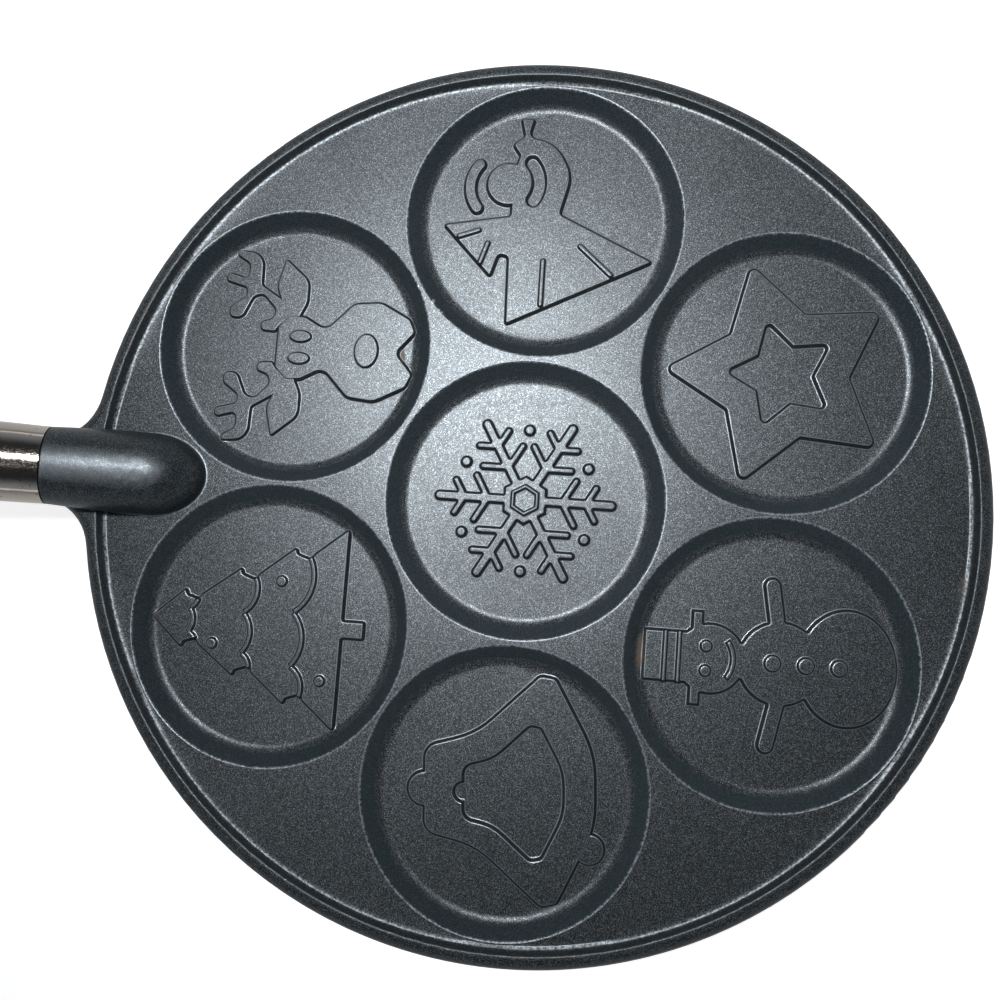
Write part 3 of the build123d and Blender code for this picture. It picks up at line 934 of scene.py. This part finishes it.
@dataclass(frozen=True)
class MouldedGrip(Finish):
    """Black phenolic moulding with a satin skin."""

    slot: str = "moulded_grip"
    black: Colour = (0.016, 0.016, 0.017)
    rubbed: Colour = (0.045, 0.045, 0.046)
    rubbed_share: float = 0.5
    roughness: float = 0.34
    roughness_spread: float = 0.16
    grain_size: float = 0.6 * MM
    grain_depth: float = 0.012 * MM
    scratch_stretch: Place = (1.0, 9.0, 9.0)
    scratch_scale: float = 55.0
    scratch_share: float = 0.3
    cloud_scale: float = 60.0
    cloud_edge: Span = (0.5, 0.75)

    def dress(self, graph: Graph, at: Socket) -> dict[str, Feed]:
        """Works out the moulding, its fine texture and its rubbed places.

        Args:
            graph: The material's graph.
            at: The place on the piece, in metres.

        Returns:
            What goes into the inputs of the Principled BSDF, by their names.
        """
        grain = Grain().place(graph, Vector=at, Size=self.grain_size)["Height"]
        lines = Scratches().place(
            graph, Vector=at, Stretch=self.scratch_stretch, Scale=self.scratch_scale, Share=self.scratch_share
        )["Mask"]
        clouds = graph.ramp(graph.noise(at, self.cloud_scale, detail=4.0), self.cloud_edge)
        worn = graph.product(graph.any_of(clouds, lines), self.rubbed_share)
        return {
            "Base Color": graph.mix(worn, self.black, self.rubbed),
            "Roughness": self.uneven(graph, grain, self.roughness, self.roughness_spread),
            "Normal": graph.bump(grain, self.grain_depth),
        }


@dataclass(frozen=True)
class PlatedSteel(Finish):
    """Bright zinc plating on the screw and its washers."""

    slot: str = "screw_steel"
    zinc: Colour = (0.56, 0.57, 0.60)
    dull: Colour = (0.30, 0.31, 0.33)
    dull_edge: Span = (0.35, 0.7)
    roughness: float = 0.28
    roughness_spread: float = 0.2
    grain_size: float = 0.5 * MM
    grain_depth: float = 0.006 * MM

    def dress(self, graph: Graph, at: Socket) -> dict[str, Feed]:
        """Works out the cloudy plating.

        Args:
            graph: The material's graph.
            at: The place on the piece, in metres.

        Returns:
            What goes into the inputs of the Principled BSDF, by their names.
        """
        grain = Grain().place(graph, Vector=at, Size=self.grain_size)["Height"]
        return {
            "Base Color": graph.mix(graph.ramp(grain, self.dull_edge), self.zinc, self.dull),
            "Metallic": 1.0,
            "Roughness": self.uneven(graph, grain, self.roughness, self.roughness_spread),
            "Normal": graph.bump(grain, self.grain_depth),
        }


@dataclass
class SubAssembly:
    """A group of pieces that stand for CAD nodes."""

    sharp_above: float = 30.0
    merge_distance: float = 0.0005 * MM
    old_shading: tuple[str, ...] = ("custom_normal", "sharp_face", "sharp_edge")

    def copy_of(self, node: str, name: str) -> bpy.types.Object:
        """Copies a CAD node's mesh into a closed, merged piece.

        Args:
            node: The CAD node's name.
            name: The piece's name.

        Returns:
            The piece, which is linked to the scene.
        """
        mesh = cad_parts[node].data.copy()
        mesh.name = name
        shape = bmesh.new()
        shape.from_mesh(mesh)
        bmesh.ops.remove_doubles(shape, verts=shape.verts, dist=self.merge_distance)
        shape.to_mesh(mesh)
        shape.free()
        for attribute in self.old_shading:
            if attribute in mesh.attributes:
                mesh.attributes.remove(mesh.attributes[attribute])
        piece = bpy.data.objects.new(name, mesh)
        bpy.context.scene.collection.objects.link(piece)
        return piece

    def shade(self, piece: bpy.types.Object) -> None:
        """Shades a piece smooth, with sharp edges where two faces meet at more than sharp_above degrees.

        Args:
            piece: The piece.
        """
        piece.data.shade_smooth()
        piece.data.set_sharp_from_angle(angle=math.radians(self.sharp_above))
        piece.modifiers.new("even_normals", "WEIGHTED_NORMAL").keep_sharp = True

    def stand_for(self, node: str, name: str, finish: Finish) -> bpy.types.Object:
        """Builds the dressed piece that takes the place of a CAD node.

        Args:
            node: The CAD node's name.
            name: The piece's name.
            finish: The piece's finish.

        Returns:
            The piece.
        """
        piece = self.copy_of(node, name)
        self.shade(piece)
        piece.data.materials.clear()
        piece.data.materials.append(finish.material())
        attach(piece, BODY)
        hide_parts(node)
        LOG.info("%s stands for %s with %d faces", piece.name, node, len(piece.data.polygons))
        return piece


@dataclass
class Casting(SubAssembly):
    """The pan's casting with its wells and relief figures."""

    coated: CoatedCasting = field(default_factory=CoatedCasting)
    sharp_above: float = 24.0

    def build(self) -> list[bpy.types.Object]:
        """Builds and dresses the casting."""
        return [self.stand_for("pan", "casting", self.coated)]


@dataclass
class Handle(SubAssembly):
    """The flame guard, the grip and what clamps them to the casting."""

    steel: PolishedSteel = field(default_factory=PolishedSteel)
    moulding: MouldedGrip = field(default_factory=MouldedGrip)
    plating: PlatedSteel = field(default_factory=PlatedSteel)
    sharp_above: float = 32.0
    fixings: tuple[str, ...] = ("handle_screw", "flat_washer", "lock_washer")

    def build(self) -> list[bpy.types.Object]:
        """Builds and dresses the handle's pieces, from the pan outwards.

        Returns:
            The pieces.
        """
        finishes = {"flame_guard": self.steel, "grip": self.moulding}
        finishes |= {fixing: self.plating for fixing in self.fixings}
        return [self.stand_for(node, f"{node}_dressed", finish) for node, finish in finishes.items()]


@dataclass(frozen=True)
class Lamp:
    """A square soft lamp, in metres, watts and degrees, that points at a place near the pan's middle."""

    name: str
    place: Place
    size: float
    power: float
    aim: Place = ORIGIN
    spread: float = 180.0


@dataclass
class Studio:
    """The floor, the world, the lamps and the camera."""

    floor_size: float = 12.0
    floor_colour: Colour = (0.60, 0.60, 0.60)
    floor_roughness: float = 0.9
    floor_glow: float = 0.8
    mirrored_glow: float = 0.2
    dome: Colour = (0.030, 0.032, 0.035)
    low_dome: Colour = (0.30, 0.34, 0.37)
    low_dome_edge: Span = (0.15, 0.7)
    backdrop: Colour = (1.0, 1.0, 1.0)
    backdrop_edge: Span = (0.06, 0.12)
    camera_place: Place = (17.72 * MM, -26.87 * MM, 306.19 * MM)
    camera_turn: Place = (5.334, 4.369, 4.238)
    camera_lens: float = 36.91
    camera_clip: float = 0.01
    sensor_width: float = 36.0
    lamps: tuple[Lamp, ...] = (
        Lamp("key_lamp", (-0.114, 0.208, 0.932), 0.16, 0.41, (0.005, 0.05, 0.0), 36.0),
        Lamp("top_lamp", (-0.29, -0.21, 0.98), 0.08, 0.2),
    )

    def shown_to(self, graph: Graph, *rays: Ray) -> Socket:
        """Gives 1 to some kinds of ray and 0 to the others."""
        path = graph.add("ShaderNodeLightPath")
        return graph.any_of(*(path.outputs[ray.value] for ray in rays))

    def build_floor(self) -> None:
        """Builds the plain pale floor, which looks white to the camera and keeps the shadow."""
        shape = bmesh.new()
        bmesh.ops.create_grid(shape, x_segments=1, y_segments=1, size=self.floor_size / 2)
        mesh = bpy.data.meshes.new("floor")
        shape.to_mesh(mesh)
        shape.free()
        floor = bpy.data.objects.new("floor", mesh)
        bpy.context.scene.collection.objects.link(floor)
        paper = bpy.data.materials.new("pale_floor")
        paper.use_nodes = True
        graph = Graph(paper.node_tree)
        seen = graph.product(self.shown_to(graph, Ray.CAMERA), self.floor_glow)
        mirrored = graph.product(self.shown_to(graph, Ray.GLOSSY, Ray.TRANSMISSION), self.mirrored_glow)
        feeds = {
            "Base Color": (*self.floor_colour, 1.0), "Roughness": self.floor_roughness,
            "Emission Color": (*self.backdrop, 1.0), "Emission Strength": graph.any_of(seen, mirrored),
        }
        for name, value in feeds.items():
            graph.feed(paper.node_tree.nodes["Principled BSDF"].inputs[name], value)
        mesh.materials.append(paper)

    def build_world(self) -> None:
        """Makes a dim dome, brighter low down, whose lowest part shows a white backdrop to what sees it."""
        world = bpy.data.worlds.new("studio")
        world.use_nodes = True
        bpy.context.scene.world = world
        graph = Graph(world.node_tree)
        height = graph.upward(graph.add("ShaderNodeTexCoord").outputs["Generated"])
        low = graph.fade(height, self.backdrop_edge)
        mirrored = graph.product(self.shown_to(graph, Ray.GLOSSY, Ray.TRANSMISSION), low)
        seen = graph.any_of(self.shown_to(graph, Ray.CAMERA), mirrored)
        dome = graph.mix(graph.ramp(height, self.low_dome_edge), self.low_dome, self.dome)
        background = world.node_tree.nodes["Background"]
        graph.feed(background.inputs["Color"], graph.mix(seen, dome, self.backdrop))

    def build_lamp(self, lamp: Lamp) -> None:
        """Builds one lamp.

        Args:
            lamp: The lamp's place, size, power and aim.
        """
        data = bpy.data.lights.new(lamp.name, "AREA")
        data.shape = "SQUARE"
        data.size = lamp.size
        data.energy = lamp.power
        data.spread = math.radians(lamp.spread)
        holder = bpy.data.objects.new(lamp.name, data)
        holder.location = lamp.place
        holder.rotation_euler = (Vector(lamp.aim) - Vector(lamp.place)).to_track_quat("-Z", "Y").to_euler()
        bpy.context.scene.collection.objects.link(holder)

    def build_camera(self) -> None:
        """Puts the camera where the photograph was taken."""
        data = bpy.data.cameras.new("camera")
        data.lens = self.camera_lens
        data.sensor_width = self.sensor_width
        data.clip_start = self.camera_clip
        camera = bpy.data.objects.new("camera", data)
        camera.location = self.camera_place
        camera.rotation_euler = Euler([math.radians(turn) for turn in self.camera_turn])
        bpy.context.scene.collection.objects.link(camera)
        bpy.context.scene.camera = camera

    def build(self) -> None:
        """Builds the whole studio."""
        self.build_floor()
        self.build_world()
        for lamp in self.lamps:
            self.build_lamp(lamp)
        self.build_camera()
        bpy.context.scene.view_settings.view_transform = "Standard"
        LOG.info("studio with %d lamps", len(self.lamps))


def main() -> None:
    """Builds every piece in order, then the studio."""
    logging.basicConfig(level=logging.INFO, format="%(name)s: %(message)s")
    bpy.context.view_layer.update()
    pieces = [*Casting().build(), *Handle().build()]
    LOG.info("%d pieces", len(pieces))
    Studio().build()


if __name__ == "__main__":
    main()
